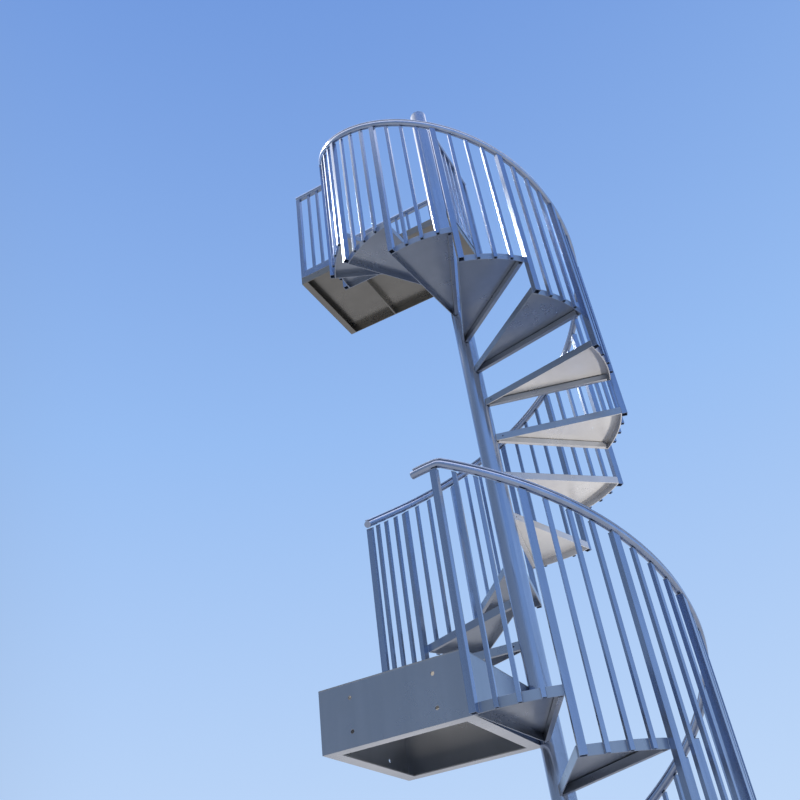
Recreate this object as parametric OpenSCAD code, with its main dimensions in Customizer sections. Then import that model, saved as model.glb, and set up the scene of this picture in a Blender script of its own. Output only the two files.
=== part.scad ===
// Galvanised steel spiral stair tower: two flights of pan treads around one
// column, a landing half way up and a guarded landing at the top.
// Origin: centre of the base plate's underside. +Z up, the building is at -X.

/* [Flights] */
// Height of one step of the lower flight
lower_rise = 228; // [205:1:255]
// Height of one step of the upper flight
upper_rise = 235; // [205:1:255]
// Turn of one step, in degrees
tread_angle = 28; // [26:0.5:30]
// Number of treads between the ground and the middle landing
lower_treads = 11; // [10:1:12]
// Number of treads between the middle and the top landing
upper_treads = 13; // [12:1:13]
// Direction of the post at the back of the last lower tread, in degrees
lower_top_angle = 267; // [265:0.5:268]
// Direction of the post at the back of the last upper tread, in degrees
upper_top_angle = 180.5; // [180:0.1:181.5]

/* [Treads] */
// Radius over the curved outer band of a tread
tread_r = 762; // [680:1:900]
// Depth of the folded flanges
tread_depth = 42; // [34:1:60]
// Thickness of the folded plate
plate_t = 5; // [3:0.5:8]
// Width of the channel that is folded back under the nosing
nose_w = 22; // [16:1:40]
// Slot between the top of that channel and the tread
nose_slot = 4; // [2:0.5:10]
// Space between the end of that channel and the outer band
nose_gap = 16; // [8:1:30]
// Space between its inner end and the column
nose_end = 6; // [3:1:20]
// How far a tread runs back behind the middle of its post
back_lap = 20; // [18:1:40]

/* [Column] */
// Outside diameter of the centre pipe
column_d = 114.3; // [90:0.1:140]
// Wall of the centre pipe
column_wall = 6; // [4:0.5:12]
// Height of the pipe's top above the top landing
column_above = 1092; // [1050:1:1300]
// Rise of the domed cap on the pipe
cap_h = 14; // [6:1:25]
// Side of the square base plate
base_w = 350; // [280:5:450]
// Thickness of the base plate
base_t = 16; // [10:1:30]
// Distance between neighbouring anchor holes
base_hole_pitch = 270; // [220:5:280]
// Diameter of an anchor hole
base_hole_d = 22; // [14:1:26]

/* [Railings] */
// Side of a square post
post_w = 31.75; // [25:0.25:40]
// Wall of a square post
post_wall = 2.5; // [1.5:0.5:4]
// Side of a square baluster
baluster_w = 19.05; // [12:0.05:22]
// Wall of a square baluster
baluster_wall = 1.75; // [1:0.25:3]
// Balusters between two neighbouring posts of a flight
balusters_per_tread = 3; // [2:1:4]
// Height of the handrail's middle above the lower end of a post
rail_rise = 1155; // [1050:1:1250]
// Diameter of the handrail
rail_d = 38.1; // [32:0.1:45]
// Width of the flat bar under the handrail
bar_w = 25.4; // [20:0.1:32]
// Thickness of the flat bar under the handrail
bar_t = 6.4; // [4:0.1:10]
// Length of the lower handrail beyond its last post, in degrees
rail_end_angle = 9; // [6:1:12]
// Where the lower handrail turns level, in degrees before its last post
rail_level_angle = 2; // [1.5:0.1:4]
// Length of handrail before the first post, in degrees
rail_start_angle = 3; // [2:1:6]
// Length of the upper handrail beyond its last post, in degrees
rail_turn_angle = 2; // [1:0.5:4]
// How much shorter the flat bar is at each end of a handrail, in degrees
bar_short_angle = 1; // [0.5:0.5:2]
// Side of the foot plates under the two lowest posts
foot_w = 90; // [60:5:120]
// Thickness of those foot plates
foot_t = 8; // [5:1:15]

/* [Middle landing] */
// Distance from the column's axis to the side where the lower flight arrives
mid_near = 50; // [46:1:54]
// Distance that the landing runs on past the column's axis
mid_past = 20; // [10:1:40]
// Distance of its outer edges inside the treads' outer bands
mid_inset = 4; // [1:1:12]
// Width of the edge beams' flanges
beam_flange = 60; // [40:1:90]
// Thickness of the edge beams
beam_t = 6; // [4:0.5:10]
// Thickness of the joists
joist_t = 6; // [4:0.5:10]
// Depth of the joists
joist_h = 120; // [80:5:160]

/* [Top landing] */
// Width of the top landing
top_width = 671; // [600:1:800]
// Distance from the column's axis to the building side
top_reach = 1130; // [1000:1:1300]
// Distance from the column's axis to the seam between the two panels
top_seam = 726; // [640:1:760]
// Distance that the landing runs on past the column's axis
top_past = 66; // [62:1:90]
// Depth of the landing's folded edges
top_depth = 60; // [50:1:80]
// Width of the lip under the edge on the building side
wall_lip = 45; // [30:1:60]
// Height of the guards' handrail above the top landing
guard_h = 940; // [900:5:1100]
// Height of the toe plates
toe_h = 47; // [40:1:120]
// Thickness of the toe plates
toe_t = 6; // [3:0.5:10]
// Largest clear space between balusters on a landing
guard_space = 88; // [70:1:100]

/* [Fixing holes] */
// Diameter of a bolt hole in the landings' fixing faces
bolt_d = 18; // [12:1:22]
// Distance between bolt holes along the middle landing's edge beams
mid_bolt_pitch = 400; // [300:10:500]
// Distance between upper and lower bolt holes in those beams
mid_bolt_rise = 140; // [100:5:160]
// Distance between the two bolt holes in the top landing's edge
top_bolt_pitch = 400; // [300:10:500]

/* [Hidden] */
// Clearance where one piece is seated on another
seat = 0.3;
// How far a cutting shape reaches past the face it cuts
past = 1;
column_r = column_d / 2;
post_r = tread_r + post_w / 2;
baluster_r = tread_r + baluster_w / 2;
rail_r = tread_r + bar_w / 2;
pipe_r = rail_d / 2;
mid_level = (lower_treads + 1) * lower_rise;
top_level = mid_level + (upper_treads + 1) * upper_rise;
lower_climb = lower_rise / tread_angle;
upper_climb = upper_rise / tread_angle;

// The edges of the middle landing that meet the stair's posts
mid_edge = tread_r - mid_inset;
mid_depth = lower_rise + tread_depth;
mid_under = mid_level - mid_depth;
// The near edge of the top landing lies beside the last post of the stair
post_line = post_r * sin(upper_top_angle);
top_near = post_line + post_w / 2 + seat;
top_far = top_near + top_width;
top_under = top_level - top_depth;
// Beyond that post the landing is as wide as the guard on it
post_side = -post_r - post_w / 2 - seat;
near_rail_z = top_level - upper_rise - tread_depth + rail_rise;
far_guard_y = top_far - post_w / 2;
side_guard_x = top_past - post_w / 2;
wall_post_x = -top_reach + post_w / 2;
guard_rail_z = top_level + guard_h;

steel = [0.74, 0.76, 0.79];
dark_steel = [0.62, 0.64, 0.67];

// Directions of the posts: number 0 stands at the foot of its flight
function lower_angle(i) = lower_top_angle + (lower_treads - i) * tread_angle;
function upper_angle(i) = upper_top_angle + (upper_treads - i) * tread_angle;
// Heights of the last treads' undersides: their posts and balusters start there
lower_top_foot = lower_treads * lower_rise - tread_depth;
upper_top_foot = mid_level + upper_treads * upper_rise - tread_depth;
// Height of the handrail's middle over any direction on its flight
function lower_rail_z(a) = lower_top_foot + rail_rise
    - max(a - lower_top_angle, rail_level_angle) * lower_climb;
function upper_rail_z(a) = upper_top_foot + rail_rise - (a - upper_top_angle) * upper_climb;
// Slope of a rail that climbs so much in each degree
function slope_of(climb) = atan(climb * 180 / (PI * rail_r));
function lower_slope(a) = a - lower_top_angle < rail_level_angle ? 0 : slope_of(lower_climb);

// Column

module base_plate() {
    color(dark_steel)
    difference() {
        translate([-base_w / 2, -base_w / 2, 0]) cube([base_w, base_w, base_t]);
        for (x = [-1, 1], y = [-1, 1])
            translate([x * base_hole_pitch / 2, y * base_hole_pitch / 2, -past])
                cylinder(d = base_hole_d, h = base_t + 2 * past, $fn = 32);
    }
}

module column_pipe() {
    color(steel)
    translate([0, 0, base_t])
    difference() {
        cylinder(r = column_r, h = top_level + column_above - base_t, $fn = 64);
        translate([0, 0, -past])
            cylinder(r = column_r - column_wall, h = top_level + column_above, $fn = 64);
    }
}

// A shallow dome: the part of a ball that a disc of the pipe's width cuts off
module column_cap() {
    ball_r = (column_r * column_r + cap_h * cap_h) / (2 * cap_h);
    color(steel)
    translate([0, 0, top_level + column_above])
    rotate_extrude($fn = 64)
    intersection() {
        translate([0, cap_h - ball_r]) circle(r = ball_r, $fn = 128);
        square([column_r, cap_h + past]);
    }
}

// Space that the column needs in whatever is fitted round it
module column_space(z, h, space = seat) {
    translate([0, 0, z]) cylinder(r = column_r + space, h = h, $fn = 64);
}

// Treads

// Plan of a tread with its own post on the +X axis: a sector whose straight
// edges lie back and front behind the middle lines of the two posts
module tread_plan(r, back, front) {
    far = 2 * tread_r;
    intersection() {
        circle(r = r, $fn = 180);
        translate([-far, -back]) square(2 * far);
        rotate(tread_angle) translate([-far, -front]) mirror([0, 1]) square(2 * far);
    }
}

// A plate folded down on its three outer sides: the nosing is folded on into a
// channel, inward and up again, that ends just under the tread and the band
module tread(back) {
    front = post_w / 2 + seat;
    t = plate_t;
    nose_r = tread_r - t - nose_gap;
    nose_h = tread_depth - t - nose_slot;
    module slab(r, from_back, from_front, z, h) {
        translate([0, 0, z]) linear_extrude(h) tread_plan(r, from_back, from_front);
    }
    color(steel)
    difference() {
        union() {
            difference() {
                slab(tread_r, back, front, 0, tread_depth);
                slab(tread_r - t, back - t, front + t, -t, tread_depth);
            }
            difference() {
                slab(nose_r, back, front, 0, nose_h);
                slab(tread_r, back + t, front + nose_w, -t, tread_depth);
                column_space(-t, tread_depth, nose_end);
                difference() {
                    slab(tread_r, back + t, front + t, t, tread_depth);
                    slab(tread_r + t, back + 2 * t, front + nose_w - t, 0, 2 * tread_depth);
                }
            }
        }
        column_space(-t, 2 * tread_depth);
    }
}

// The last lower tread stops short of the landing's edge beam
module lower_tread(i) {
    reach = mid_near + post_r * cos(lower_top_angle) - seat;
    translate([0, 0, i * lower_rise - tread_depth])
    rotate([0, 0, lower_angle(i)])
    tread(i == lower_treads ? min(reach, back_lap) : back_lap);
}

module upper_tread(i) {
    translate([0, 0, mid_level + i * upper_rise - tread_depth])
    rotate([0, 0, upper_angle(i)])
    tread(back_lap);
}

// Railings of the flights

module square_tube(w, wall, h) {
    difference() {
        translate([-w / 2, -w / 2, 0]) cube([w, w, h]);
        translate([-w / 2 + wall, -w / 2 + wall, -past])
            cube([w - 2 * wall, w - 2 * wall, h + 2 * past]);
    }
}

// An upright at radius r: open below, cut to the slope of the rail above
module upright(a, r, w, wall, foot_z, rail_z, slope) {
    top_z = rail_z - (pipe_r + bar_t + 2 * seat) / cos(slope);
    rotate([0, 0, a])
    translate([r, 0, 0])
    difference() {
        translate([0, 0, foot_z]) square_tube(w, wall, top_z + w - foot_z);
        translate([0, 0, top_z])
            rotate([-slope, 0, 0])
            translate([-w, -2 * w, 0])
            cube([2 * w, 4 * w, 4 * w]);
    }
}

module lower_upright(i, a, r, w, wall) {
    foot_z = i == 0 ? foot_t : i * lower_rise - tread_depth;
    upright(a, r, w, wall, foot_z, lower_rail_z(a), lower_slope(a));
}

module upper_upright(i, a, r, w, wall) {
    foot_z = mid_level + i * upper_rise - tread_depth;
    upright(a, r, w, wall, foot_z, upper_rail_z(a), slope_of(upper_climb));
}

module lower_posts() {
    color(steel)
    for (i = [0:lower_treads])
        lower_upright(i, lower_angle(i), post_r, post_w, post_wall);
}

module upper_posts() {
    color(steel)
    for (i = [0:upper_treads])
        upper_upright(i, upper_angle(i), post_r, post_w, post_wall);
}

// Turn from a tread's post to its baluster number j
function baluster_turn(j) = j * tread_angle / (balusters_per_tread + 1);

module lower_balusters() {
    color(steel)
    for (i = [1:lower_treads], j = [1:balusters_per_tread])
        lower_upright(i, lower_angle(i) + baluster_turn(j), baluster_r, baluster_w, baluster_wall);
}

module upper_balusters() {
    color(steel)
    for (i = [1:upper_treads], j = [1:balusters_per_tread])
        upper_upright(i, upper_angle(i) + baluster_turn(j), baluster_r, baluster_w, baluster_wall);
}

module newel_foot() {
    color(dark_steel)
    rotate([0, 0, lower_angle(0)])
    translate([post_r - foot_w / 2, -foot_w / 2, 0])
    cube([foot_w, foot_w, foot_t - seat]);
}

// Sweep of a section, given as [outward, upward] points in anticlockwise
// order, from direction a0 at height z0 round to a1: it climbs as far as the
// direction a_level and then runs level
module helix_sweep(section, a0, a_level, a1, z0, climb) {
    step = 4;
    rings = ceil((a0 - a_level) / step);
    level_rings = ceil((a_level - a1) / step);
    turns = concat(
        [for (s = [0:rings]) a0 + (a_level - a0) * s / rings],
        [for (s = [1:1:level_rings]) a_level + (a1 - a_level) * s / level_rings]);
    n = len(section);
    slope = slope_of(climb);
    // The ring where the rail turns level is mitred between both stretches
    function tilt(s) = level_rings == 0 || s < rings ? slope : s == rings ? slope / 2 : 0;
    function at(a, tilt, p) = let(
        out = [cos(a), sin(a), 0],
        up = [-sin(a) * sin(tilt), cos(a) * sin(tilt), cos(tilt)],
        middle = [rail_r * cos(a), rail_r * sin(a), z0 + (a0 - max(a, a_level)) * climb])
        middle + p[0] * out + p[1] * up;
    points = [for (s = [0:len(turns) - 1], p = section) at(turns[s], tilt(s), p)];
    sides = [for (s = [0:len(turns) - 2], k = [0:n - 1], half = [0, 1])
        let(l = (k + 1) % n, here = s * n, next = here + n)
        half == 0 ? [here + k, next + k, next + l] : [here + k, next + l, here + l]];
    first = [for (k = [0:n - 1]) k];
    last = [for (k = [n - 1:-1:0]) (len(turns) - 1) * n + k];
    polyhedron(points = points, faces = concat([first], sides, [last]), convexity = 10);
}

pipe_section = [for (k = [0:11]) pipe_r * [cos(30 * k), sin(30 * k)]];
bar_section = [
    [-bar_w / 2, -pipe_r - seat - bar_t], [bar_w / 2, -pipe_r - seat - bar_t],
    [bar_w / 2, -pipe_r - seat], [-bar_w / 2, -pipe_r - seat]];

module lower_rail(section, short) {
    a0 = lower_angle(0) + rail_start_angle - short;
    a1 = lower_top_angle - rail_end_angle + short;
    color(steel)
    helix_sweep(section, a0, lower_top_angle + rail_level_angle, a1, lower_rail_z(a0), lower_climb);
}

module upper_rail(section, short) {
    a0 = upper_angle(0) + rail_start_angle - short;
    a1 = upper_top_angle - rail_turn_angle + short;
    color(steel)
    helix_sweep(section, a0, a1, a1, upper_rail_z(a0), upper_climb);
}

module lower_handrail() { lower_rail(pipe_section, 0); }
module upper_handrail() { upper_rail(pipe_section, 0); }
module lower_rail_bar() { lower_rail(bar_section, bar_short_angle); }
module upper_rail_bar() { upper_rail(bar_section, bar_short_angle); }

// Middle landing: a plate on a frame of edge beams, as deep as the step below

// A block that fills the landing's outline, taken in by inset on every side
module mid_block(inset, z, h) {
    w = mid_edge - mid_near - 2 * inset;
    l = mid_edge + mid_past - 2 * inset;
    translate([-mid_edge + inset, -mid_edge + inset, z]) cube([w, l, h]);
}

module mid_landing_plate() {
    color(steel)
    difference() {
        mid_block(0, mid_level - plate_t, plate_t);
        column_space(mid_level - plate_t - past, plate_t + 2 * past);
    }
}

// A bolt hole through a plate of thickness t that stands on +X from x = 0
module bolt_hole(t) {
    translate([-past, 0, 0])
    rotate([0, 90, 0])
    cylinder(d = bolt_d, h = t + 2 * past, $fn = 32);
}

// Four bolt holes through each of the two edge beams on the building's side
module mid_bolt_holes() {
    middle_z = mid_level - mid_depth / 2;
    middle_x = -(mid_edge + mid_near) / 2;
    middle_y = (mid_past - mid_edge) / 2;
    for (s = [-1, 1], v = [-1, 1]) {
        across = s * mid_bolt_pitch / 2;
        up = middle_z + v * mid_bolt_rise / 2;
        translate([-mid_edge, middle_y + across, up]) bolt_hole(beam_t);
        translate([middle_x + across, -mid_edge, up]) rotate([0, 0, 90]) bolt_hole(beam_t);
    }
}

module mid_landing_frame() {
    h = mid_depth - plate_t;
    color(steel)
    difference() {
        mid_block(0, mid_under, h);
        mid_block(beam_t, mid_under + beam_t, h - 2 * beam_t);
        mid_block(beam_flange, mid_under - past, h + 2 * past);
        mid_bolt_holes();
        column_space(mid_under - past, h + 2 * past);
    }
}

module mid_landing_joists() {
    w = mid_edge - mid_near - 2 * beam_t;
    gap = (mid_edge + mid_past) / 3;
    color(dark_steel)
    for (k = [1:2])
        translate([-mid_edge + beam_t, -mid_edge + k * gap - joist_t / 2,
            mid_level - plate_t - beam_t - joist_h])
            cube([w, joist_t, joist_h]);
}

// Top landing: two panels side by side, each a plate with its edges folded down

// Space inside the folded edges of a panel that is drawn as outline(inset)
module under_panel() {
    translate([0, 0, top_under - past])
    linear_extrude(top_depth - plate_t + past) children();
}

module top_landing_panel() {
    module outline(inset) {
        translate([-top_seam + inset, top_near + inset])
            square([top_seam + top_past - 2 * inset, top_width - 2 * inset]);
    }
    color(steel)
    difference() {
        translate([0, 0, top_under]) linear_extrude(top_depth) outline(0);
        under_panel() outline(plate_t);
        column_space(top_under - past, top_depth + 2 * past);
    }
}

// The panel beside the building is wider beyond the stair's last post, and has
// a lip under its building side and bolt holes through it
module top_landing_extension() {
    middle_y = (top_near + top_far) / 2;
    module outline(inset) {
        wide_y = post_line - post_w / 2 + inset;
        seam_x = -top_seam - seat - inset;
        polygon([
            [-top_reach + inset, wide_y], [post_side - inset, wide_y], [post_side - inset, top_near + inset],
            [seam_x, top_near + inset], [seam_x, top_far - inset], [-top_reach + inset, top_far - inset]]);
    }
    color(steel)
    difference() {
        translate([0, 0, top_under]) linear_extrude(top_depth) outline(0);
        difference() {
            under_panel() outline(plate_t);
            translate([-top_reach, post_line - post_w / 2, top_under])
                cube([wall_lip, top_far - post_line + post_w / 2, plate_t]);
        }
        for (s = [-1, 1])
            translate([-top_reach, middle_y + s * top_bolt_pitch / 2, top_level - top_depth / 2])
                bolt_hole(plate_t);
    }
}

// Guards of the top landing

// Straight handrail and its bar along +X, from x0 to x1, round about height z
module straight_rail(x0, x1, z) {
    translate([x0, 0, z]) rotate([0, 90, 0]) cylinder(r = pipe_r, h = x1 - x0, $fn = 32);
    translate([x0, -bar_w / 2, z - pipe_r - seat - bar_t]) cube([x1 - x0, bar_w, bar_t]);
}

// A guard along +X between post places 0 and l: posts stand where asked, and
// the toe plate, bottom rail and evenly spaced balusters fill the space
// between them, with the toe plate flush with the posts on the side asked
module guard(l, first_post, last_post, side, rail_z) {
    x0 = post_w / 2 + seat;
    x1 = l - x0;
    foot_z = top_level + seat;
    under_bar = rail_z - pipe_r - bar_t - 2 * seat;
    rail_z0 = foot_z + toe_h + seat;
    baluster_z0 = rail_z0 + baluster_w + seat;
    bays = ceil((x1 - x0 + baluster_w) / (guard_space + baluster_w));
    for (x = concat(first_post ? [0] : [], last_post ? [l] : []))
        translate([x, 0, foot_z]) square_tube(post_w, post_wall, under_bar - foot_z);
    translate([x0, side * (post_w - toe_t) / 2 - toe_t / 2, foot_z]) cube([x1 - x0, toe_t, toe_h]);
    translate([x0, -baluster_w / 2, rail_z0]) cube([x1 - x0, baluster_w, baluster_w]);
    for (k = [1:bays - 1])
        translate([x0 + (x1 - x0) * k / bays, 0, baluster_z0])
            square_tube(baluster_w, baluster_wall, under_bar - baluster_z0);
}

module near_guard() {
    run = -wall_post_x - post_r;
    start = pipe_r + seat + rail_r - post_r;
    color(steel)
    translate([-post_r, post_line, 0])
    rotate([0, 0, 180]) {
        guard(run, false, true, 1, near_rail_z);
        straight_rail(start, run + post_w / 2, near_rail_z);
    }
}

// A half space at 45 degrees that mitres one handrail against the next
module mitre(x, turn) {
    translate([x, 0, top_level])
    rotate([0, 0, turn])
    translate([seat / 2, -top_reach, 0])
    cube([2 * top_reach, 2 * top_reach, 2 * guard_h]);
}

module far_guard() {
    run = side_guard_x - wall_post_x;
    color(steel)
    translate([wall_post_x, far_guard_y, 0]) {
        guard(run, true, true, -1, guard_rail_z);
        difference() {
            straight_rail(-post_w / 2, run + pipe_r, guard_rail_z);
            mitre(run, -45);
        }
    }
}

module side_guard() {
    start_y = column_r + seat + post_w / 2;
    run = far_guard_y - start_y;
    color(steel)
    translate([side_guard_x, start_y, 0])
    rotate([0, 0, 90]) {
        guard(run, true, false, 1, guard_rail_z);
        difference() {
            straight_rail(-post_w / 2, run + pipe_r, guard_rail_z);
            mitre(run, 45);
        }
    }
}

base_plate();
column_pipe();
column_cap();
newel_foot();
for (i = [1:lower_treads])
    lower_tread(i);
for (i = [1:upper_treads])
    upper_tread(i);
mid_landing_plate();
mid_landing_frame();
mid_landing_joists();
top_landing_panel();
top_landing_extension();
lower_posts();
lower_balusters();
lower_handrail();
lower_rail_bar();
upper_posts();
upper_balusters();
upper_handrail();
upper_rail_bar();
near_guard();
far_guard();
side_guard();
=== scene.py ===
# %% [markdown]
# # A galvanised spiral fire escape
# The stair is steel that was cut, folded and welded, and then dipped whole into molten zinc. The
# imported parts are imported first, as a fixed frame in metres with the column's foot as the origin.
# They already have their true shapes, so this lesson gives them a skin of zinc and adds what a
# workshop adds: smooth bent handrails, weld seams, holes that let the zinc run out and anchors.

# %% Load the steel parts
import math
import bpy
from mathutils import Matrix, Vector


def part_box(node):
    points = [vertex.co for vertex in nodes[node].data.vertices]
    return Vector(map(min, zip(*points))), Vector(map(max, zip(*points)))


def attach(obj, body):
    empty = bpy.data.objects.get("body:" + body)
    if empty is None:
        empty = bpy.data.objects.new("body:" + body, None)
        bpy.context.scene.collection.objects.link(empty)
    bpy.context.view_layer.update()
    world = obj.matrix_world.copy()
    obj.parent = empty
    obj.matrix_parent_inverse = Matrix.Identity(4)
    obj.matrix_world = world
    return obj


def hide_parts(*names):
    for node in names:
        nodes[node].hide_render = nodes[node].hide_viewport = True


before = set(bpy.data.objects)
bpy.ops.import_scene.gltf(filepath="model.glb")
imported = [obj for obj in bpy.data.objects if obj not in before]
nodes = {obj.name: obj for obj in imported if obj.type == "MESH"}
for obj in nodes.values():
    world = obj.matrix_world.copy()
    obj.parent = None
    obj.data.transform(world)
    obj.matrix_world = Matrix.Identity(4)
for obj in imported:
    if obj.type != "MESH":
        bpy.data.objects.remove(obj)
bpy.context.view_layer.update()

# %% [markdown]
# A stair like this is mostly seen from close to its foot, looking steeply up. The camera is
# therefore at eye height, tilted back by 35 degrees and rolled a little. A lens of 38 mm on a
# sensor 36 mm wide gives the strong narrowing towards the top. The camera's axes are built as three
# vectors, because a roll about the line of sight is easier to follow that way than as Euler angles.

# %% Camera at eye height, looking up
MM = 0.001
eye = Vector((1246.7, -3978.2, 1552.8)) * MM
turn, tilt, roll = (math.radians(a) for a in (-23.6946, 35.3989, -8.4558))
ahead = Vector((math.sin(turn) * math.cos(tilt), math.cos(turn) * math.cos(tilt), math.sin(tilt)))
level = Vector((math.cos(turn), -math.sin(turn), 0))
upright = level.cross(ahead)
right = level * math.cos(roll) + upright * math.sin(roll)
up = upright * math.cos(roll) - level * math.sin(roll)
SENSOR_WIDTH, FOCAL_LENGTH = 36, 38.496
camera = bpy.data.objects.new("camera", bpy.data.cameras.new("camera"))
camera.data.sensor_width = SENSOR_WIDTH
camera.data.lens = FOCAL_LENGTH
camera.matrix_world = Matrix.Translation(eye) @ Matrix((right, up, -ahead)).transposed().to_4x4()
bpy.context.scene.collection.objects.link(camera)
bpy.context.scene.camera = camera
bpy.context.scene.view_settings.view_transform = "Standard"
print("camera height:", round(eye.z, 3), "m")

# %% [markdown]
# Colours are written as on a paint card, in sRGB hex, and Blender works in linear light, so one
# function turns one into the other. A second small function adds a node with its settings and its
# links, and every node tree below, of a material or of a shape, is built with it.

# %% Colour and node helpers
def colour(code):
    """The linear RGBA of an sRGB hex code such as #9AA6B8."""
    parts = [int(code[i:i + 2], 16) / 255 for i in (1, 3, 5)]
    return [p / 12.92 if p <= 0.04045 else ((p + 0.055) / 1.055) ** 2.4 for p in parts] + [1]


def add(tree, kind, inputs=None, **settings):
    """Adds a node: settings are its properties, inputs its values or the sockets that feed them."""
    node = tree.nodes.new(kind)
    for name, value in settings.items():
        setattr(node, name, value)
    for socket, value in (inputs or {}).items():
        if isinstance(value, bpy.types.NodeSocket):
            tree.links.new(value, node.inputs[socket])
        else:
            node.inputs[socket].default_value = value
    return node


# A colour mix has its factor, its two colours and its result at these places
FACTOR, FIRST, SECOND, MIXED = 0, 6, 7, 2

# %% [markdown]
# Zinc mirrors whatever is round it, so the sky matters as much as the lamps. The sky is a plain
# ramp from a pale blue near the horizon to a deeper one overhead, and what the camera sees is also
# what the steel mirrors. That ramp turns grey posts partly blue. The rest of their blue is a
# painted reflection of the sky, set into the tube, pipe and rail tones below. A mirror in an even
# room looks flat, though, so one side of the room is a greyer tone, as a dark card does in a studio.

# %% Sky
world = bpy.data.worlds.new("pale_sky")
bpy.context.scene.world = world
world.use_nodes = True
sky = world.node_tree
heading = add(sky, "ShaderNodeTexCoord")
height = add(sky, "ShaderNodeSeparateXYZ", {"Vector": heading.outputs["Generated"]})
ramp = add(sky, "ShaderNodeValToRGB", {"Fac": height.outputs["Z"]})
ramp.color_ramp.elements[0].position = 0.05
ramp.color_ramp.elements[0].color = colour("#C4DCFA")
ramp.color_ramp.elements[1].position = 0.95
ramp.color_ramp.elements[1].color = colour("#6992DA")
ramp.color_ramp.elements.new(0.55).color = colour("#97BDF2")
# One side of the room is greyer, so that a face turned to it is darker than its neighbour
grey_side = Vector((-0.85, -0.53, 0))
facing = {0: heading.outputs["Generated"], 1: grey_side}
facing = add(sky, "ShaderNodeVectorMath", facing, operation="DOT_PRODUCT").outputs["Value"]
shaded = {"Value": facing, "From Min": 0.2, "From Max": 0.8, "To Max": 0.75}
shaded = add(sky, "ShaderNodeMapRange", shaded, interpolation_type="SMOOTHSTEP").outputs["Result"]
tones = {FACTOR: shaded, FIRST: ramp.outputs["Color"], SECOND: colour("#76818F")}
tone = add(sky, "ShaderNodeMix", tones, data_type="RGBA")
sky.links.new(tone.outputs[MIXED], sky.nodes["Background"].inputs["Color"])
print("sky of", len(ramp.color_ramp.elements), "blues")

# %% [markdown]
# The floor is a pale screed, and it is a lamp as much as a ground: most of what the camera sees of
# the treads is their underside, and only light from below reaches it. It is so wide that its edge
# lies at the horizon from every side.

# %% Floor
# Half the floor's width in metres, and the size of its grain
FLOOR_HALF, FLOOR_GRAIN = 1500, 400 * MM
floor_mesh = bpy.data.meshes.new("floor")
corners = [(x * FLOOR_HALF, y * FLOOR_HALF, 0) for x, y in ((-1, -1), (1, -1), (1, 1), (-1, 1))]
floor_mesh.from_pydata(corners, [], [(0, 1, 2, 3)])
floor = bpy.data.objects.new("floor", floor_mesh)
bpy.context.scene.collection.objects.link(floor)

paving = bpy.data.materials.new("pale_screed")
paving.use_nodes = True
screed = paving.node_tree
where = add(screed, "ShaderNodeTexCoord").outputs["Object"]
grain = add(screed, "ShaderNodeTexNoise", {"Vector": where, "Scale": 1 / FLOOR_GRAIN, "Detail": 5})
tones = {FACTOR: grain.outputs["Fac"], FIRST: colour("#D6CAB6"), SECOND: colour("#E2D8C6")}
tone = add(screed, "ShaderNodeMix", tones, data_type="RGBA")
skin = screed.nodes["Principled BSDF"]
skin.inputs["Roughness"].default_value = 0.85
screed.links.new(tone.outputs[MIXED], skin.inputs["Base Color"])
floor_mesh.materials.append(paving)
print("floor", 2 * FLOOR_HALF, "m wide")

# %% [markdown]
# Soft lamps do the rest. An overhead one, far away and 75 degrees wide, lights the floor and the
# tops of the treads, and the floor sends that light up to every underside. Two spots stand far away
# and high on the left, and put narrow glints on the left of the upper uprights. Two more, one near
# the floor and one close below them, make the undersides of the middle treads bright, while the
# ones above and below stay dark, and the last one reaches into the box of the landing. The zinc
# doesn't mirror those three, so they leave no glint. Light linking says what a spot lights.

# %% Lamps
def group(name, members, state="INCLUDE"):
    """A collection of pieces that a lamp lights, or that it leaves out if the state is EXCLUDE."""
    made = bpy.data.collections.new(name)
    for member in members:
        made.objects.link(member)
        made.collection_objects[-1].light_linking.link_state = state
    return made


def lamp(name, kind, power, tint, place, aim, lights=None, mirrored=True):
    """A lamp at a place, turned to a point. It lights one collection, or everything."""
    made = bpy.data.objects.new(name, bpy.data.lights.new(name, kind))
    made.data.energy = power
    made.data.color = colour(tint)[:3]
    made.location = place
    made.rotation_euler = (place - aim).to_track_quat("Z", "Y").to_euler()
    made.visible_camera = False
    made.visible_glossy = mirrored
    bpy.context.scene.collection.objects.link(made)
    if lights:
        made.light_linking.receiver_collection = lights
    return made.data


overhead = lamp("overhead", "SUN", 1.5, "#FFEFD8", Vector((-1, 1, 12)), Vector((0, 0, 0)))
overhead.angle = math.radians(75)

level_parts = [node for name, node in nodes.items() if "tread" in name or "landing" in name]
landing_parts = [node for name, node in nodes.items() if name.startswith("mid_landing")]
all_that_stands = group("all_but_level_parts", [floor] + level_parts, "EXCLUDE")
uprights = group("upper_uprights", [nodes["upper_balusters"], nodes["upper_posts"]])
middle_four = group("middle_treads", [nodes[f"upper_tread_{i}"] for i in (4, 5, 6, 7)])
landing_box = group("landing_box", landing_parts)

# The points that the spots are turned to, and the places of the three that stand low
stair_head = Vector((0, 0, 6.6))
middle_treads = Vector((0.42, 0.3, 4.15))
box_middle = Vector((-0.4, -0.37, 2.7))
near_floor = Vector((4.5, 1.8, 0.4))
under_treads = Vector((0.25, 0.1, 2.7))
under_box = Vector((-0.4, -0.6, 1.4))
# The other two stand on the left, at this angle round the column, this angle up and this far away
LEFT_SIDE, HIGH_UP, SPOT_REACH = math.radians(173), math.radians(42), 14
high_left = Vector((math.cos(LEFT_SIDE), math.sin(LEFT_SIDE), math.tan(HIGH_UP)))
high_left = SPOT_REACH * high_left.normalized()
# The radius of a spot's lamp in metres, and the share of its cone that fades out
SPOT_SOFT, SPOT_BLEND = 0.4, 0.3
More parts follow.
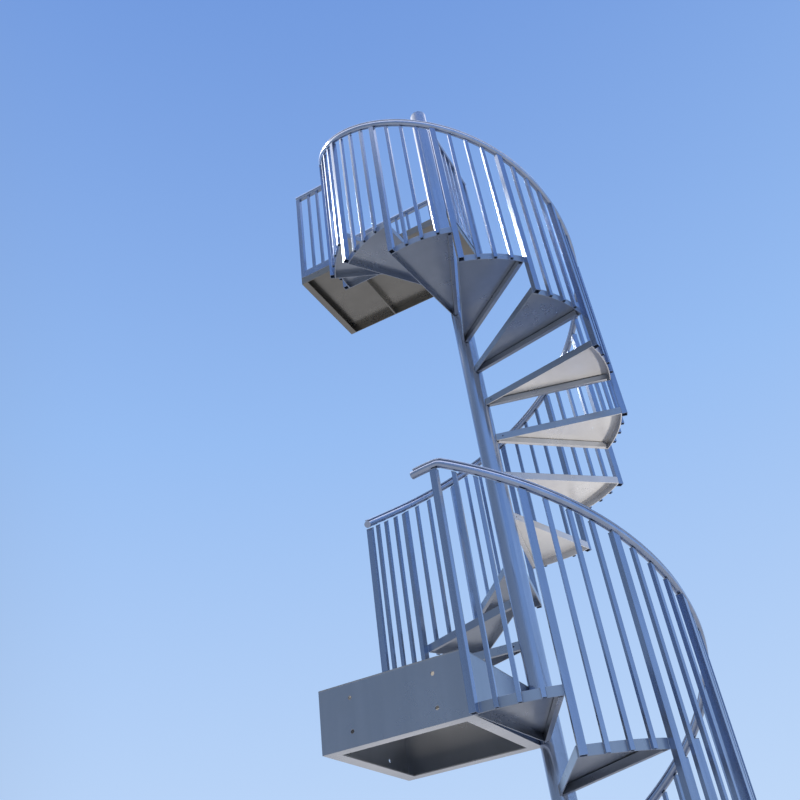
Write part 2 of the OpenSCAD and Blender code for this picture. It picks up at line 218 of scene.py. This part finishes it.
# Name, watts, tint, place, aim, cone in degrees, what it lights and whether the zinc mirrors it
for name, power, tint, place, aim, wide, lights, mirrored in (
        ("head_spot", 3800, "#FFF6E8", stair_head + high_left, stair_head, 13, all_that_stands, True),
        ("upright_spot", 3000, "#FFF6E8", middle_treads + high_left, middle_treads, 8, uprights, True),
        ("tread_spot", 9500, "#FFEBD2", near_floor, middle_treads, 14, middle_four, False),
        ("tread_fill", 200, "#FFEBD2", under_treads, middle_treads, 100, middle_four, False),
        ("box_spot", 220, "#FFF0DE", under_box, box_middle, 60, landing_box, False)):
    spot = lamp(name, "SPOT", power, tint, place, aim, lights, mirrored)
    spot.shadow_soft_size = SPOT_SOFT
    spot.spot_size = math.radians(wide)
    spot.spot_blend = SPOT_BLEND

# %% [markdown]
# Hot-dip zinc freezes on the steel as a mosaic of crystals, the spangle, and every crystal has a
# slightly different grey and gloss. Where the hanging stair drained, the zinc keeps faint upright
# runs, and after some seasons a dull patina clouds part of it. Each of these is one texture whose
# scale is worked out from a size in millimetres. A picture of real zinc would need unwrapped parts
# and show its borders, so the finish is made of Voronoi cells and noise instead.

# %% One recipe for every zinc finish
# The sizes of a cloud of patina and of a ripple, the radius of an edge and the height of a ripple
CLOUD, RIPPLE, EDGE_ROUND, SWELL = 240 * MM, 25 * MM, 1.5 * MM, 0.5 * MM
# How much a crystal changes the tone and the roughness, how much rougher patina is, how softly it
# sets in, and how strong the ripple looks
CRYSTAL_TONE, CRYSTAL_DULL, PATINA_DULL, PATINA_EDGE, RELIEF = 0.05, 0.015, 0.06, 0.2, 0.015


def zinc(name, pale, deep, patina, spangle, run, gloss, roughness, metal_share=0.85):
    """Zinc with crystals and runs of these sizes in mm, under patina where the clouds pass gloss."""
    material = bpy.data.materials.new(name)
    material.use_nodes = True
    tree = material.node_tree
    place = add(tree, "ShaderNodeTexCoord").outputs["Object"]
    cells = add(tree, "ShaderNodeTexVoronoi", {"Vector": place, "Scale": 1 / (spangle * MM)})
    crystal = add(tree, "ShaderNodeSeparateColor", {"Color": cells.outputs["Color"]}).outputs["Red"]
    # Stretched to 20 times its height, the noise becomes upright runs
    drawn = add(tree, "ShaderNodeMapping", {"Vector": place, "Scale": (1, 1, 0.05)}).outputs["Vector"]
    runs = add(tree, "ShaderNodeTexNoise", {"Vector": drawn, "Scale": 1 / (run * MM), "Detail": 3})
    clouds = add(tree, "ShaderNodeTexNoise", {"Vector": place, "Scale": 1 / CLOUD, "Detail": 3})
    speck = {0: crystal, 1: CRYSTAL_TONE, 2: runs.outputs["Fac"]}
    shade = add(tree, "ShaderNodeMath", speck, operation="MULTIPLY_ADD").outputs[0]
    spread = {"Value": shade, "From Min": 0.25, "From Max": 0.9}
    shade = add(tree, "ShaderNodeMapRange", spread).outputs["Result"]
    metal = {FACTOR: shade, FIRST: colour(deep), SECOND: colour(pale)}
    metal = add(tree, "ShaderNodeMix", metal, data_type="RGBA")
    cover = {"Value": clouds.outputs["Fac"], "From Min": gloss - PATINA_EDGE}
    cover["From Max"] = gloss + PATINA_EDGE
    cover = add(tree, "ShaderNodeMapRange", cover).outputs["Result"]
    tones = {FACTOR: cover, FIRST: metal.outputs[MIXED], SECOND: colour(patina)}
    tone = add(tree, "ShaderNodeMix", tones, data_type="RGBA")
    # Patina is duller than bare zinc, and one crystal is duller than the next
    dull = {0: crystal, 1: CRYSTAL_DULL, 2: roughness}
    dull = add(tree, "ShaderNodeMath", dull, operation="MULTIPLY_ADD").outputs[0]
    dull = {0: cover, 1: PATINA_DULL, 2: dull}
    dull = add(tree, "ShaderNodeMath", dull, operation="MULTIPLY_ADD").outputs[0]
    # Folded and cut edges are a little round under their zinc
    edges = add(tree, "ShaderNodeBevel", {"Radius": EDGE_ROUND}, samples=8).outputs["Normal"]
    ripple = add(tree, "ShaderNodeTexNoise", {"Vector": place, "Scale": 1 / RIPPLE, "Detail": 2})
    relief = {0: ripple.outputs["Fac"], 1: runs.outputs["Fac"]}
    relief = add(tree, "ShaderNodeMath", relief, operation="ADD")
    swell = {"Strength": RELIEF, "Distance": SWELL, "Height": relief.outputs[0], "Normal": edges}
    normal = add(tree, "ShaderNodeBump", swell).outputs["Normal"]
    skin = tree.nodes["Principled BSDF"]
    skin.inputs["Metallic"].default_value = metal_share
    tree.links.new(tone.outputs[MIXED], skin.inputs["Base Color"])
    tree.links.new(dull, skin.inputs["Roughness"])
    tree.links.new(normal, skin.inputs["Normal"])
    return material


# %% [markdown]
# Folded sheet has large crystals, wide runs and clouds of patina. Drawn tube and pipe are smoother,
# so their crystals are smaller, their runs are finer and their gloss is higher. What stands near
# the floor or inside the landing weathered most. Weld metal is duller than tube, because silicon in
# the wire makes the zinc on it grow thick and grey.

# %% The zinc finishes
# Each has its pale and deep tone and its patina, the sizes of its crystals and runs in mm, the
# cloud value at which patina sets in, its roughness and, where it is less, its share of metal
sheet = zinc("hot_dip_zinc_on_folded_sheet", "#A8B0BD", "#9AA3B1", "#9CA4B0",
             spangle=22, run=60, gloss=0.6, roughness=0.27, metal_share=0.8)
# The landing sheet's darker tan tones are painted shade and a painted reflection of warm ground
landing = zinc("zinc_on_landing_sheet_with_painted_shade", "#97958F", "#868480", "#8A8883",
               spangle=22, run=90, gloss=0.55, roughness=0.26, metal_share=0.8)
# The blue of the tube's pale, deep and patina tones is a painted reflection of the sky
tube = zinc("zinc_on_square_tube_with_painted_sky_blue", "#A4B5D0", "#8B9CBB", "#92A1B9",
            spangle=16, run=40, gloss=0.62, roughness=0.2)
# The blue of the pipe's tones is a painted reflection of the sky
pipe = zinc("zinc_on_tall_pipe_with_painted_sky_blue", "#B8C3D7", "#9DAAC3", "#A3AFC2",
            spangle=16, run=40, gloss=0.64, roughness=0.17)
# The blue of the handrail's tones is a painted reflection of the sky
rail = zinc("zinc_on_bent_handrail_with_painted_sky_blue", "#B9C6DD", "#A0AEC8", "#A6B2C6",
            spangle=16, run=40, gloss=0.6, roughness=0.2)
weathered = zinc("weathered_zinc_near_the_ground", "#AEB2B6", "#8F949A", "#96999C",
                 spangle=12, run=40, gloss=0.45, roughness=0.42, metal_share=0.55)
weld = zinc("grey_zinc_on_weld_metal", "#BCC2CC", "#8E95A1", "#989FA9",
            spangle=3, run=12, gloss=0.5, roughness=0.3)

finishes = {"base_plate": weathered, "newel_foot": weathered,
            "mid_landing_joists": weathered, "mid_landing_plate": weathered,
            "column_pipe": pipe, "column_cap": pipe,
            "top_landing_panel": landing, "top_landing_extension": landing,
            "lower_posts": tube, "lower_balusters": tube, "upper_posts": tube, "upper_balusters": tube,
            "near_guard": tube, "far_guard": tube, "side_guard": tube}
for name, node in nodes.items():
    node.data.materials.clear()
    node.data.materials.append(finishes.get(name, sheet))
print("finishes:", sorted({node.data.materials[0].name for node in nodes.values()}))

# %% [markdown]
# The black inside of a drain hole is not a colour of the zinc but missing light. A nearly black,
# rough disc just proud of the sheet gives the same look and costs only a few faces.

# %% Dark of the drain holes
dark = bpy.data.materials.new("unlit_inside_of_a_hole")
dark.use_nodes = True
shaft = dark.node_tree
where = add(shaft, "ShaderNodeTexCoord").outputs["Object"]
RIM_GRAIN = 3 * MM
rim = add(shaft, "ShaderNodeTexNoise", {"Vector": where, "Scale": 1 / RIM_GRAIN})
tones = {FACTOR: rim.outputs["Fac"], FIRST: colour("#0E1014"), SECOND: colour("#1C2026")}
tone = add(shaft, "ShaderNodeMix", tones, data_type="RGBA")
skin = shaft.nodes["Principled BSDF"]
skin.inputs["Roughness"].default_value = 0.9
skin.inputs["Specular IOR Level"].default_value = 0.1
shaft.links.new(tone.outputs[MIXED], skin.inputs["Base Color"])
print(dark.name)

# %% [markdown]
# Geometry Nodes makes everything that follows a path or repeats. The pattern is always the same: a
# tree with named inputs, a modifier that carries it, and then the evaluated result turned into a
# plain mesh, because the export wants meshes and drops instances. The helpers hold that pattern.

# %% Helpers for shapes made by nodes
def new_tree(name, sockets):
    """A geometry tree with these named inputs. Returns the tree and its input node."""
    tree = bpy.data.node_groups.new(name, "GeometryNodeTree")
    tree.interface.new_socket("Geometry", in_out="INPUT", socket_type="NodeSocketGeometry")
    for title, kind in sockets.items():
        tree.interface.new_socket(title, in_out="INPUT", socket_type="NodeSocket" + kind)
    tree.interface.new_socket("Finish", in_out="INPUT", socket_type="NodeSocketMaterial")
    tree.interface.new_socket("Geometry", in_out="OUTPUT", socket_type="NodeSocketGeometry")
    return tree, tree.nodes.new("NodeGroupInput")


def close_tree(tree, given, shape):
    """Ends a tree: instances are made real and the finish is set."""
    real = add(tree, "GeometryNodeRealizeInstances", {"Geometry": shape})
    done = {"Geometry": real.outputs["Geometry"], "Material": given.outputs["Finish"]}
    done = add(tree, "GeometryNodeSetMaterial", done)
    add(tree, "NodeGroupOutput", {"Geometry": done.outputs["Geometry"]})


SHARP_TURN = math.radians(30)


def smooth_but_corners(tree, mesh):
    """Shades a mesh smoothly, but keeps each edge sharp that turns by more than SHARP_TURN."""
    smooth = add(tree, "GeometryNodeSetShadeSmooth", {"Geometry": mesh}).outputs["Geometry"]
    turn = add(tree, "GeometryNodeInputMeshEdgeAngle").outputs["Unsigned Angle"]
    corner = {0: turn, 1: SHARP_TURN}
    corner = add(tree, "ShaderNodeMath", corner, operation="GREATER_THAN").outputs[0]
    sharp = {"Geometry": smooth, "Selection": corner, "Shade Smooth": False}
    return add(tree, "GeometryNodeSetShadeSmooth", sharp, domain="EDGE").outputs["Geometry"]


def grow(name, tree, finish, values, mesh=None):
    """Runs a tree on a mesh, or on nothing, and returns the piece as a plain mesh."""
    carrier = bpy.data.objects.new(name, mesh or bpy.data.meshes.new(name))
    bpy.context.scene.collection.objects.link(carrier)
    modifier = carrier.modifiers.new("shape", "NODES")
    modifier.node_group = tree
    for socket in tree.interface.items_tree:
        if socket.in_out == "INPUT" and socket.name in values:
            modifier[socket.identifier] = values[socket.name]
        if socket.in_out == "INPUT" and socket.name == "Finish":
            modifier[socket.identifier] = finish
    seen = carrier.evaluated_get(bpy.context.evaluated_depsgraph_get())
    shape = bpy.data.meshes.new_from_object(seen)
    carrier.modifiers.remove(modifier)
    carrier.data = shape
    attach(carrier, "root")
    print(name, "faces:", len(shape.polygons))
    return carrier


# %% [markdown]
# A handrail here is a round pipe on a flat bar, bent to a helix. On the real stair the pipe is
# rolled, so its shading is quite smooth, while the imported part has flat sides. The new rail is a
# straight line whose points a few Math nodes carry round the column: the turn goes from Start to
# End, and the height grows with it until Level, where the lower rail stops climbing. A Spiral node
# could not do that last level stretch.

# %% Trees for a rail round the column
SIZES = {"Start": "Float", "Level": "Float", "End": "Float", "Radius": "Float", "Foot": "Float",
         "Climb": "Float", "Rings": "Int"}


def rail_path(tree, given):
    """Adds the nodes of a helix and returns its curve."""
    line = add(tree, "GeometryNodeCurvePrimitiveLine", {"End": (0, 0, 1)})
    rings = {"Curve": line.outputs["Curve"], "Count": given.outputs["Rings"]}
    rings = add(tree, "GeometryNodeResampleCurve", rings)
    along = add(tree, "GeometryNodeSplineParameter").outputs["Factor"]
    turned = {"Value": along, "To Min": given.outputs["Start"], "To Max": given.outputs["End"]}
    turned = add(tree, "ShaderNodeMapRange", turned).outputs["Result"]
    climbing = {0: turned, 1: given.outputs["Level"]}
    climbing = add(tree, "ShaderNodeMath", climbing, operation="MAXIMUM").outputs[0]
    gone = {0: given.outputs["Start"], 1: climbing}
    gone = add(tree, "ShaderNodeMath", gone, operation="SUBTRACT").outputs[0]
    rise = {0: gone, 1: given.outputs["Climb"], 2: given.outputs["Foot"]}
    rise = add(tree, "ShaderNodeMath", rise, operation="MULTIPLY_ADD").outputs[0]
    x = add(tree, "ShaderNodeMath", {0: turned}, operation="COSINE").outputs[0]
    y = add(tree, "ShaderNodeMath", {0: turned}, operation="SINE").outputs[0]
    x = add(tree, "ShaderNodeMath", {0: x, 1: given.outputs["Radius"]}, operation="MULTIPLY").outputs[0]
    y = add(tree, "ShaderNodeMath", {0: y, 1: given.outputs["Radius"]}, operation="MULTIPLY").outputs[0]
    spot = add(tree, "ShaderNodeCombineXYZ", {"X": x, "Y": y, "Z": rise}).outputs["Vector"]
    bent = add(tree, "GeometryNodeSetPosition", {"Geometry": rings.outputs["Curve"], "Position": spot})
    # Z up keeps a flat section level across while it climbs
    bent = add(tree, "GeometryNodeSetCurveNormal", {"Curve": bent.outputs["Geometry"]}, mode="Z_UP")
    return bent.outputs["Curve"]


pipe_tree, given = new_tree("pipe_round_the_column", {**SIZES, "Pipe": "Float"})
ring = {"Resolution": 24, "Radius": given.outputs["Pipe"]}
ring = add(pipe_tree, "GeometryNodeCurvePrimitiveCircle", ring)
swept = {"Curve": rail_path(pipe_tree, given), "Profile Curve": ring.outputs["Curve"], "Fill Caps": True}
swept = add(pipe_tree, "GeometryNodeCurveToMesh", swept)
smooth = smooth_but_corners(pipe_tree, swept.outputs["Mesh"])
close_tree(pipe_tree, given, smooth)

BAR_SIZES = {**SIZES, "Width": "Float", "Thickness": "Float", "Drop": "Float"}
bar_tree, given = new_tree("bar_round_the_column", BAR_SIZES)
flat = {"Width": given.outputs["Width"], "Height": given.outputs["Thickness"]}
flat = add(bar_tree, "GeometryNodeCurvePrimitiveQuadrilateral", flat)
lowered = add(bar_tree, "ShaderNodeCombineXYZ", {"Y": given.outputs["Drop"]}).outputs["Vector"]
flat = add(bar_tree, "GeometryNodeTransform", {"Geometry": flat.outputs["Curve"], "Translation": lowered})
swept = {"Curve": rail_path(bar_tree, given), "Profile Curve": flat.outputs["Geometry"], "Fill Caps": True}
swept = add(bar_tree, "GeometryNodeCurveToMesh", swept)
close_tree(bar_tree, given, swept.outputs["Mesh"])
print("rail inputs:", [item.name for item in bar_tree.interface.items_tree if item.in_out == "INPUT"])

# %% [markdown]
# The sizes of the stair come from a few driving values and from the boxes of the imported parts, so
# the rails land on their uprights without any fitting by eye.

# %% Handrails of both flights
TREAD_R = 762 * MM
STEP_TURN = 28
LOWER_TREADS, UPPER_TREADS = 11, 13
LOWER_TOP, UPPER_TOP = 267, 180.5
POST, BALUSTER = 31.75 * MM, 19.05 * MM
PIPE_R = 19.05 * MM
BAR_W, BAR_T, SEAT = 25.4 * MM, 6.4 * MM, 0.3 * MM
rail_r = TREAD_R + BAR_W / 2
# How far a handrail runs before its first post and past its last one, and where the lower one turns
# level, in degrees, and how much shorter the bar is at each end
RAIL_START, LOWER_PAST, UPPER_PAST, RAIL_LEVEL, BAR_SHORT = 3, 9, 2, 2, 1
# Degrees of a handrail between two of its rings
RING_TURN = 1.5


def height_of(name, end):
    """Lowest (0) or highest (1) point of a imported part."""
    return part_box(name)[end][2]


TREAD_H = height_of("lower_tread_1", 1) - height_of("lower_tread_1", 0)
MID_Z = height_of("mid_landing_plate", 1)
TOP_Z = height_of("top_landing_panel", 1)


def handrail(flight, start, turns_level, end, top, climb):
    """One flight's pipe and the flat bar under it, between two turns in degrees, ending at top."""
    foot = top - (start - turns_level) * climb
    values = {"Start": math.radians(start), "Level": math.radians(turns_level), "End": math.radians(end),
              "Radius": rail_r, "Foot": foot, "Climb": math.degrees(climb),
              "Rings": round((start - end) / RING_TURN), "Pipe": PIPE_R}
    pipe_piece = grow(flight + "_handrail_pipe", pipe_tree, rail, values)
    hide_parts(flight + "_handrail")
    values.update({"Width": BAR_W, "Thickness": BAR_T, "Drop": -(PIPE_R + SEAT + BAR_T / 2)})
    values.update({"Start": math.radians(start - BAR_SHORT), "End": math.radians(end + BAR_SHORT)})
    values["Foot"] = foot + climb * BAR_SHORT
    if end == turns_level:
        values["Level"] = values["End"]
    bar_piece = grow(flight + "_handrail_bar", bar_tree, rail, values)
    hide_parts(flight + "_rail_bar")


lower_rise = (height_of("lower_tread_11", 1) - height_of("lower_tread_1", 1)) / (LOWER_TREADS - 1)
upper_rise = (height_of("upper_tread_13", 1) - height_of("upper_tread_1", 1)) / (UPPER_TREADS - 1)
lower_climb, upper_climb = lower_rise / STEP_TURN, upper_rise / STEP_TURN
# Height of a handrail's middle above the underside of the tread at its last post
RAIL_RISE = 1155 * MM
lower_end = height_of("lower_tread_11", 0) + RAIL_RISE - RAIL_LEVEL * lower_climb
upper_end = height_of("upper_tread_13", 0) + RAIL_RISE + UPPER_PAST * upper_climb
lower_start = LOWER_TOP + LOWER_TREADS * STEP_TURN + RAIL_START
upper_start = UPPER_TOP + UPPER_TREADS * STEP_TURN + RAIL_START
lower_level, upper_level = LOWER_TOP + RAIL_LEVEL, UPPER_TOP - UPPER_PAST
handrail("lower", lower_start, lower_level, LOWER_TOP - LOWER_PAST, lower_end, lower_climb)
handrail("upper", upper_start, upper_level, upper_level, upper_end, upper_climb)
print("rise of a step: lower", round(lower_rise, 4), "upper", round(upper_rise, 4))

# %% [markdown]
# The centre column is a drawn pipe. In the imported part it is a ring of 64 flats, and a flat mirrors
# a lamp all at once or not at all. Here the wall of the pipe, a thin upright rectangle, is swept
# round a circle instead, with more and smoothly shaded flats, so its glint is one clean line.

# %% Centre column
COLUMN_R, COLUMN_WALL = 57.15 * MM, 6 * MM
COLUMN_SIZES = {"Radius": "Float", "Wall": "Float", "Foot": "Float", "Height": "Float"}
column_tree, given = new_tree("upright_pipe", COLUMN_SIZES)
middle = add(column_tree, "ShaderNodeMath", {0: given.outputs["Wall"], 1: -0.5, 2: given.outputs["Radius"]},
             operation="MULTIPLY_ADD").outputs[0]
ring = add(column_tree, "GeometryNodeCurvePrimitiveCircle", {"Resolution": 128, "Radius": middle})
wall = {"Width": given.outputs["Wall"], "Height": given.outputs["Height"]}
wall = add(column_tree, "GeometryNodeCurvePrimitiveQuadrilateral", wall)
swept = {"Curve": ring.outputs["Curve"], "Profile Curve": wall.outputs["Curve"]}
swept = add(column_tree, "GeometryNodeCurveToMesh", swept)
lift = add(column_tree, "ShaderNodeMath", {0: given.outputs["Height"], 1: 0.5, 2: given.outputs["Foot"]},
           operation="MULTIPLY_ADD").outputs[0]
lift = add(column_tree, "ShaderNodeCombineXYZ", {"Z": lift}).outputs["Vector"]
stood = add(column_tree, "GeometryNodeTransform", {"Geometry": swept.outputs["Mesh"], "Translation": lift})
close_tree(column_tree, given, smooth_but_corners(column_tree, stood.outputs["Geometry"]))

column_foot, column_head = height_of("column_pipe", 0), height_of("column_pipe", 1)
values = {"Radius": COLUMN_R, "Wall": COLUMN_WALL, "Foot": column_foot, "Height": column_head - column_foot}
column = grow("centre_column", column_tree, pipe, values)
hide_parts("column_pipe")

# %% [markdown]
# Every upright is welded to the outer band of its tread and to the bar under the handrail. Up close
# a weld seam is a row of overlapping ripples, each a frozen drop. So a seam is drawn as a bare line,
# and Geometry Nodes sets a small ball on it every few millimetres. The ball has 20 faces only,
# because there are thousands, and a seeded random size keeps the row from looking machined.

# %% Tree for weld seams
seam_tree, given = new_tree("weld_seam", {"Bead": "Float", "Pitch": "Float", "Seed": "Int"})
lines = add(seam_tree, "GeometryNodeMeshToCurve", {"Mesh": given.outputs["Geometry"]})
spaced = {"Curve": lines.outputs["Curve"], "Length": given.outputs["Pitch"]}
spaced = add(seam_tree, "GeometryNodeResampleCurve", spaced, mode="LENGTH")
drop = add(seam_tree, "GeometryNodeMeshIcoSphere", {"Radius": given.outputs["Bead"], "Subdivisions": 1})
drop = add(seam_tree, "GeometryNodeSetShadeSmooth", {"Geometry": drop.outputs["Mesh"]})
size = {2: 0.8, 3: 1.15, "Seed": given.outputs["Seed"]}
size = add(seam_tree, "FunctionNodeRandomValue", size, data_type="FLOAT").outputs[1]
row = {"Points": spaced.outputs["Curve"], "Instance": drop.outputs["Geometry"], "Scale": size}
row = add(seam_tree, "GeometryNodeInstanceOnPoints", row)
close_tree(seam_tree, given, row.outputs["Instances"])


def seams(name, lines, bead, pitch, seed):
    """Weld metal along lines, each a list of points in metres. Bead and pitch are in mm."""
    mesh = bpy.data.meshes.new(name)
    points = [point for line in lines for point in line]
    edges = []
    start = 0
    for line in lines:
        edges += [(start + k, start + k + 1) for k in range(len(line) - 1)]
        start += len(line)
    mesh.from_pydata(points, edges, [])
    values = {"Bead": bead * MM, "Pitch": pitch * MM, "Seed": seed}
    grow(name, seam_tree, weld, values, mesh)


def at(direction, out, side, z):
    """The point so far out in a direction, in degrees, round the column, and so far to its left."""
    a = math.radians(direction)
    return (out * math.cos(a) - side * math.sin(a), out * math.sin(a) + side * math.cos(a), z)


print("seam inputs:", [item.name for item in seam_tree.interface.items_tree if item.in_out == "INPUT"])

# %% [markdown]
# An upright is known by its direction round the column, its width and the height of its foot, and
# all of these follow from one table of the two flights. At its foot it has a seam on both sides, as
# tall as the band. At its top a seam runs round all four sides, and it slopes as the rail does.

# %% Seams of the uprights
BALUSTERS = 3
# How far the middle of a bead is off the steel, and back from the edge of a band or plate
BEAD_OFF = 1 * MM
flights = {"lower": (LOWER_TOP, LOWER_TREADS, 0, lower_rise, lower_climb, lower_end, RAIL_LEVEL),
           "upper": (UPPER_TOP, UPPER_TREADS, MID_Z, upper_rise, upper_climb, upper_end, -UPPER_PAST)}
for flight, (last_turn, treads, base, rise, climb, rail_top, level_turn) in flights.items():
    slope = climb / math.radians(1) / rail_r
    foot_lines, top_lines = [], []
    for i in range(treads + 1):
        turn_i = last_turn + (treads - i) * STEP_TURN
        foot = base + i * rise - TREAD_H
        for j in range(BALUSTERS + 1):
            width = BALUSTER if j else POST
            if i == 0 and j:
                continue
            direction = turn_i + j * STEP_TURN / (BALUSTERS + 1)
            climbs = max(direction - last_turn, level_turn)
            tilt_here = slope if direction - last_turn >= level_turn else 0
            rail_depth = (PIPE_R + BAR_T + 2 * SEAT) * math.hypot(1, tilt_here)
            under_bar = rail_top - (climbs - level_turn) * climb - rail_depth - BEAD_OFF
            half, out = width / 2, TREAD_R + width / 2
            ring = [(-half, -half), (half, -half), (half, half), (-half, half), (-half, -half)]
            top_lines.append([at(direction, out + x, y, under_bar - tilt_here * y) for x, y in ring])
            if i == 0:
                continue
            for side in (-half, half):
                foot_lines.append([at(direction, TREAD_R + BEAD_OFF, side, foot + 2 * BEAD_OFF),
                                   at(direction, TREAD_R + BEAD_OFF, side, foot + TREAD_H - BEAD_OFF)])
    seams(flight + "_foot_seams", foot_lines, bead=2.4, pitch=3.2, seed=3)
    seams(flight + "_rail_seams", top_lines, bead=1.8, pitch=2.8, seed=5)

# %% [markdown]
# A tread is welded to the column along its two folded flanges and along the plate between them.
# The plate's seam is an arc, and the flanges' seams are upright. Every tread gets the same three
# lines, turned and lifted to its own place, as the real treads come out of one jig.

# %% Seams round the column
BACK_LAP, FRONT_GAP = 20 * MM, POST / 2 + SEAT
PLATE_T = 5 * MM
ARC_STEPS = 6


def on_column(offset):
    """Distance from the middle at which a flange so far to the side meets the pipe."""
    return math.sqrt(COLUMN_R ** 2 - offset ** 2)


def tread_places():
    """Direction and underside of every tread."""
    for last_turn, treads, base, rise, *_ in flights.values():
        for i in range(1, treads + 1):
            yield last_turn + (treads - i) * STEP_TURN, base + i * rise - TREAD_H


column_lines = []
for direction, foot in tread_places():
    ahead_of = direction + STEP_TURN
    for around, offset in ((direction, BACK_LAP), (ahead_of, FRONT_GAP)):
        out = on_column(offset)
        column_lines.append([at(around, out, -offset, foot + h) for h in (BEAD_OFF, TREAD_H - BEAD_OFF)])
    begin = direction - math.degrees(math.asin((BACK_LAP - PLATE_T) / COLUMN_R))
    end = ahead_of - math.degrees(math.asin((FRONT_GAP + PLATE_T) / COLUMN_R))
    steps = [begin + (end - begin) * k / ARC_STEPS for k in range(ARC_STEPS + 1)]
    under_plate = foot + TREAD_H - PLATE_T - BEAD_OFF
    column_lines.append([at(a, COLUMN_R + BEAD_OFF, 0, under_plate) for a in steps])
seams("column_seams", column_lines, bead=2.6, pitch=3.4, seed=7)

# %% [markdown]
# The guards are welded to the top landing under four of their posts. The places of those posts
# follow from the boxes of the three guards, and each seam is a square round its post.

# %% Seams under the guard posts
far_low, far_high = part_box("far_guard")
side_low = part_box("side_guard")[0]
near_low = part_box("near_guard")[0]
stands = [(far_low.x + POST / 2, far_high.y - PIPE_R), (side_low.x + PIPE_R, far_high.y - PIPE_R),
          (side_low.x + PIPE_R, side_low.y + POST / 2), (near_low.x + POST / 2, near_low.y + PIPE_R)]
half = POST / 2
ring = [(-half, -half), (half, -half), (half, half), (-half, half), (-half, -half)]
guard_lines = [[(x + dx, y + dy, TOP_Z + BEAD_OFF) for dx, dy in ring] for x, y in stands]
seams("guard_seams", guard_lines, bead=2.4, pitch=3.2, seed=9)

# %% [markdown]
# A hollow or folded piece must let the liquid zinc in and out again, so each flange has a small
# hole beside the column. The points below carry an attribute, the way that the hole faces, and the
# tree turns one thin dark disc to it. The attribute travels with the point, so no second list of
# angles is needed.

# %% Drain holes
hole_tree, given = new_tree("drain_holes", {"Radius": "Float", "Proud": "Float"})
disc = {"Vertices": 16, "Radius": given.outputs["Radius"], "Depth": given.outputs["Proud"]}
disc = add(hole_tree, "GeometryNodeMeshCylinder", disc)
facing = add(hole_tree, "GeometryNodeInputNamedAttribute", {"Name": "facing"}, data_type="FLOAT_VECTOR")
aim = {"Vector": facing.outputs["Attribute"]}
aim = add(hole_tree, "FunctionNodeAlignRotationToVector", aim, axis="Z").outputs["Rotation"]
dots = add(hole_tree, "GeometryNodeMeshToPoints", {"Mesh": given.outputs["Geometry"]})
put = {"Points": dots.outputs["Points"], "Instance": disc.outputs["Mesh"], "Rotation": aim}
put = add(hole_tree, "GeometryNodeInstanceOnPoints", put)
close_tree(hole_tree, given, put.outputs["Instances"])

HOLE_OUT, HOLE_R, HOLE_PROUD = 92 * MM, 4 * MM, 0.6 * MM
hole_points, hole_facing = [], []
for direction, foot in tread_places():
    for around, offset, way in ((direction, BACK_LAP, -1), (direction + STEP_TURN, FRONT_GAP, 1)):
        hole_points.append(at(around, HOLE_OUT, -offset, foot + TREAD_H / 2))
        hole_facing.append(at(around, 0, way, 0))
mesh = bpy.data.meshes.new("hole_places")
mesh.from_pydata(hole_points, [], [])
ways = mesh.attributes.new("facing", "FLOAT_VECTOR", "POINT")
ways.data.foreach_set("vector", [number for way in hole_facing for number in way])
holes = grow("drain_holes", hole_tree, dark, {"Radius": HOLE_R, "Proud": HOLE_PROUD}, mesh)

# %% [markdown]
# Anchors hold the base plate and the newel's foot down. The anchor is drawn for a stud of diameter
# one, as a washer, a hexagon nut and the stud's end, and each size of it is an instance scaled by
# the real diameter. That is how fastener tables work: everything follows from the thread size.

# %% Anchors in the floor
anchor_tree, given = new_tree("anchors", {"Diameter": "Float"})
# Sides, radius, depth and bottom of the washer, the nut and the stud
WASHER, NUT, STUD = (32, 1.05, 0.16, 0), (6, 0.98, 0.8, 0.16), (20, 0.5, 1.9, -0.4)
solids = []
for sides, radius, depth, bottom in (WASHER, NUT, STUD):
    solid = {"Vertices": sides, "Radius": radius, "Depth": depth}
    solid = add(anchor_tree, "GeometryNodeMeshCylinder", solid)
    raised = {"Geometry": solid.outputs["Mesh"], "Translation": (0, 0, bottom + depth / 2)}
    solids.append(add(anchor_tree, "GeometryNodeTransform", raised).outputs["Geometry"])
together = add(anchor_tree, "GeometryNodeJoinGeometry")
for solid in solids:
    anchor_tree.links.new(solid, together.inputs["Geometry"])
dots = add(anchor_tree, "GeometryNodeMeshToPoints", {"Mesh": given.outputs["Geometry"]})
put = {"Points": dots.outputs["Points"], "Instance": together.outputs["Geometry"]}
put["Scale"] = given.outputs["Diameter"]
put = add(anchor_tree, "GeometryNodeInstanceOnPoints", put)
close_tree(anchor_tree, given, put.outputs["Instances"])


def anchors(name, points, diameter):
    """Anchors of one diameter at these points on a plate's top."""
    mesh = bpy.data.meshes.new(name)
    mesh.from_pydata(points, [], [])
    piece = grow(name, anchor_tree, weathered, {"Diameter": diameter}, mesh)


BASE_PITCH, BASE_STUD, FOOT_STUD = 270 * MM, 20 * MM, 10 * MM
base_top, foot_top = height_of("base_plate", 1), height_of("newel_foot", 1)
places = [(x * BASE_PITCH / 2, y * BASE_PITCH / 2, base_top) for x in (-1, 1) for y in (-1, 1)]
anchors("base_anchors", places, BASE_STUD)
newel_turn = LOWER_TOP + LOWER_TREADS * STEP_TURN
post_r, foot_reach = TREAD_R + POST / 2, 31 * MM
places = [at(newel_turn, post_r + k * foot_reach, k * foot_reach, foot_top) for k in (-1, 1)]
anchors("newel_anchors", places, FOOT_STUD)
